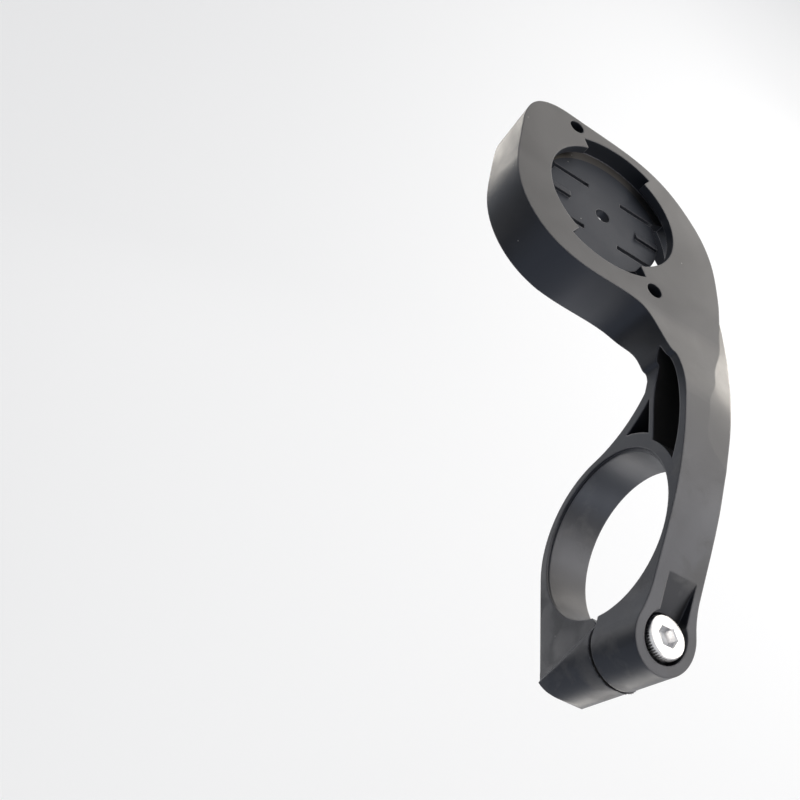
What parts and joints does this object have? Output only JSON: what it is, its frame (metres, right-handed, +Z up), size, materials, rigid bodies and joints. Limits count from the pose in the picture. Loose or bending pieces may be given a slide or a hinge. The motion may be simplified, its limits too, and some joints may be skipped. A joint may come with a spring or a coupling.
{
  "type": "bike computer mount",
  "caption": "Out-front handlebar mount: a split clamp ring with a side arm that carries a quarter-turn socket for a bike computer.",
  "frame": {"origin": "on the handlebar's axis, midway across the clamp ring", "axes": "+X forward along the bicycle, away from the rider; +Y to the rider's left, along the handlebar; +Z up, out of the socket's mouth"},
  "size_m": [0.1139, 0.0538, 0.0382],
  "materials": {
    "moulded_nylon": "black glass-filled nylon, injection moulded, satin",
    "zinc_plated_steel": "bright zinc-plated steel cap screw",
    "nut_steel": "zinc-plated steel hexagon nut"
  },
  "bodies": {
    "mount": {"mount_body": "moulded_nylon", "clamp_nut": "nut_steel"},
    "screw": {"clamp_bolt": "zinc_plated_steel"}
  },
  "joints": [
    {"name": "screw_turn", "type": "hinge", "parent": "mount", "child": "screw", "pos_m": [-0.0211, 0, 0.00935], "axis": [0, 0, 1], "continuous": true}
  ]
}
